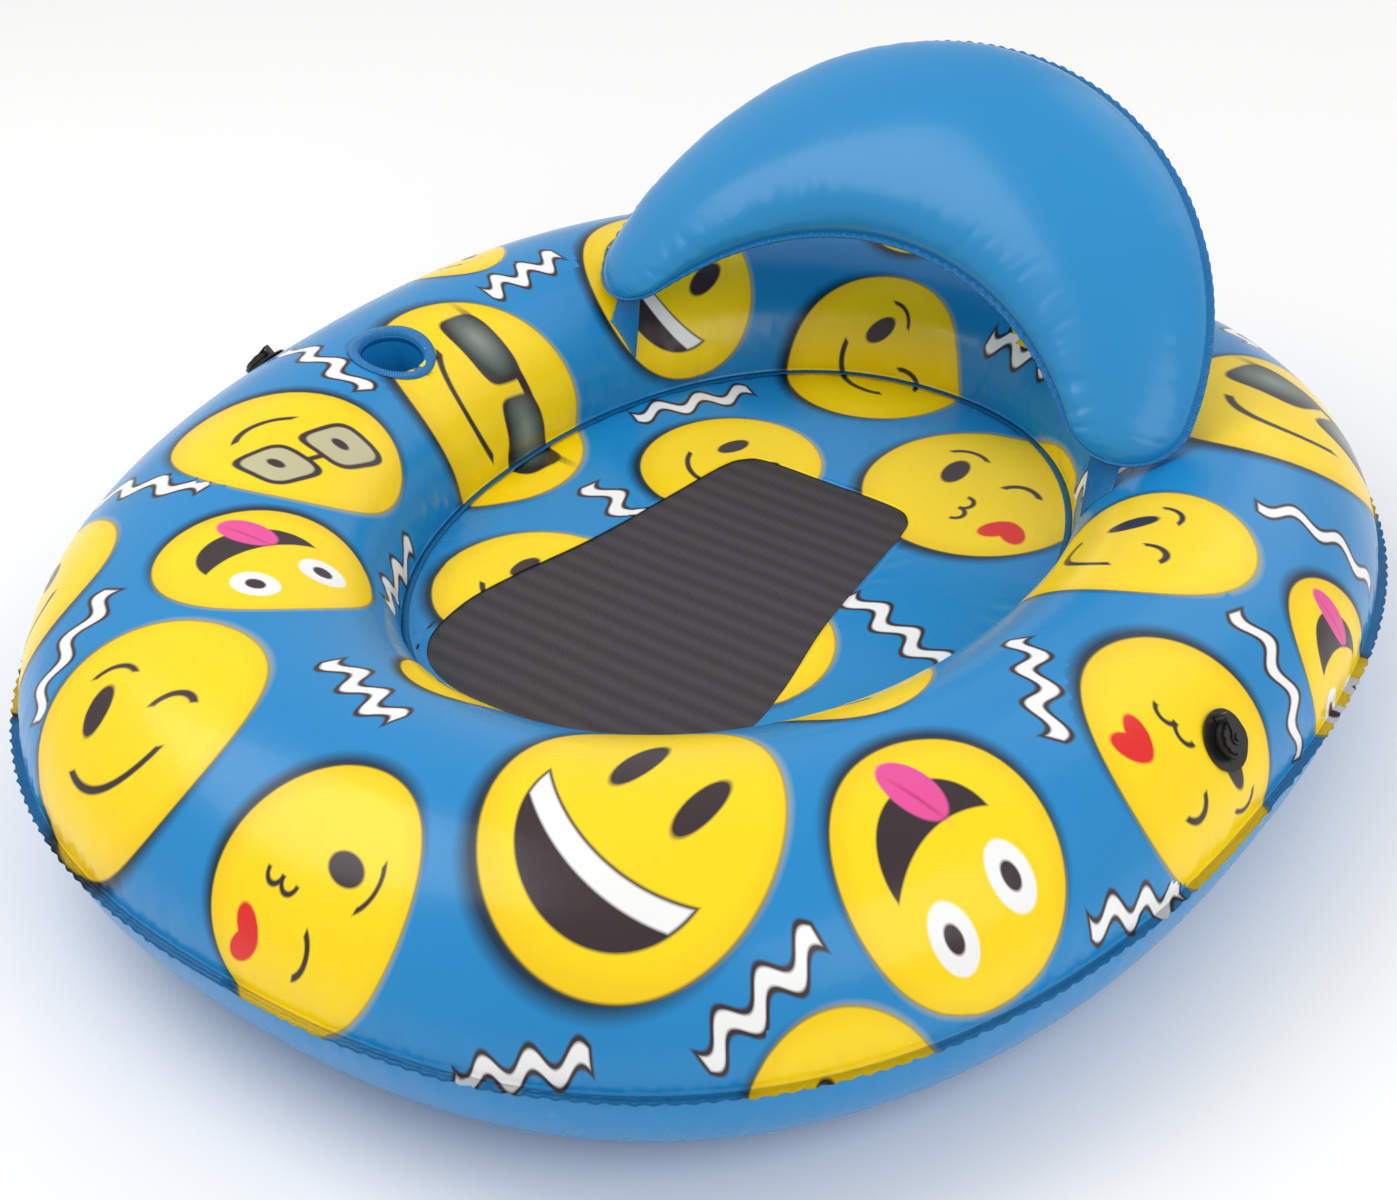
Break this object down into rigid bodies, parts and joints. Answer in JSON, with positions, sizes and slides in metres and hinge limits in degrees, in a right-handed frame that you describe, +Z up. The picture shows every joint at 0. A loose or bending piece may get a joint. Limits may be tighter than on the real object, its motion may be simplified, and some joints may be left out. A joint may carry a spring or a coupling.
{
  "type": "inflatable water lounge ring",
  "caption": "Inflatable oval water lounge with printed top, mesh seat floor, crescent backrest welded at its tips, recessed cup holder and screw air valves.",
  "frame": {"origin": "under the middle of the ring, on the surface that it rests on", "axes": "+X to the right arm of a seated person, +Y to the backrest end, +Z up"},
  "size_m": [1.3117, 1.512, 0.5466],
  "materials": {
    "printed_vinyl": "glossy soft vinyl sheet with a printed pattern of yellow discs",
    "blue_vinyl": "glossy soft vinyl sheet, slightly translucent",
    "clear_vinyl": "soft clear vinyl",
    "seat_mesh": "coated open mesh cloth",
    "valve_plastic": "moulded black plastic",
    "flap_rubber": "soft black rubber"
  },
  "bodies": {
    "root": {"ring_top_sheet": "printed_vinyl", "ring_bottom_sheet": "blue_vinyl", "foot_chamber_wall": "blue_vinyl", "back_chamber_wall": "blue_vinyl", "seat_floor": "printed_vinyl", "mesh_seat": "seat_mesh", "cup_wall": "blue_vinyl", "cup_base": "blue_vinyl", "cup_rim": "blue_vinyl", "right_valve_base": "valve_plastic", "right_valve_tether": "valve_plastic", "right_backrest_tab": "blue_vinyl", "left_valve_base": "valve_plastic", "left_valve_tether": "valve_plastic", "left_backrest_tab": "blue_vinyl"},
    "backrest": {"backrest_front_sheet": "blue_vinyl", "backrest_back_sheet": "blue_vinyl", "backrest_valve_stem": "clear_vinyl"},
    "backrest_plug": {"backrest_valve_plug": "clear_vinyl"},
    "right_valve_insert": {"right_valve_body": "valve_plastic", "right_valve_flap": "flap_rubber"},
    "right_valve_lid": {"right_valve_cap": "valve_plastic"},
    "left_valve_insert": {"left_valve_body": "valve_plastic", "left_valve_flap": "flap_rubber"},
    "left_valve_lid": {"left_valve_cap": "valve_plastic"}
  },
  "joints": [
    {"name": "backrest_fold", "type": "hinge", "parent": "root", "child": "backrest", "pos_m": [0, 0.25, 0.268], "axis": [1, 0, 0], "range_deg": [-5, 85]},
    {"name": "backrest_plug_pull", "type": "slide", "parent": "backrest", "child": "backrest_plug", "axis": [0, 0.4972, -0.8676], "range_m": [0, 0.012]},
    {"name": "right_valve_unscrew", "type": "hinge", "parent": "root", "child": "right_valve_insert", "pos_m": [0.61336, -0.05574, 0.23593], "axis": [0.7831, -0.0107, 0.6218], "range_deg": [0, 360]},
    {"name": "right_cap_unscrew", "type": "hinge", "parent": "right_valve_insert", "child": "right_valve_lid", "pos_m": [0.61336, -0.05574, 0.23593], "axis": [0.7831, -0.0107, 0.6218], "range_deg": [0, 360]},
    {"name": "left_valve_unscrew", "type": "hinge", "parent": "root", "child": "left_valve_insert", "pos_m": [-0.61336, -0.05574, 0.23593], "axis": [-0.7831, -0.0107, 0.6218], "range_deg": [0, 360]},
    {"name": "left_cap_unscrew", "type": "hinge", "parent": "left_valve_insert", "child": "left_valve_lid", "pos_m": [-0.61336, -0.05574, 0.23593], "axis": [-0.7831, -0.0107, 0.6218], "range_deg": [0, 360]}
  ]
}
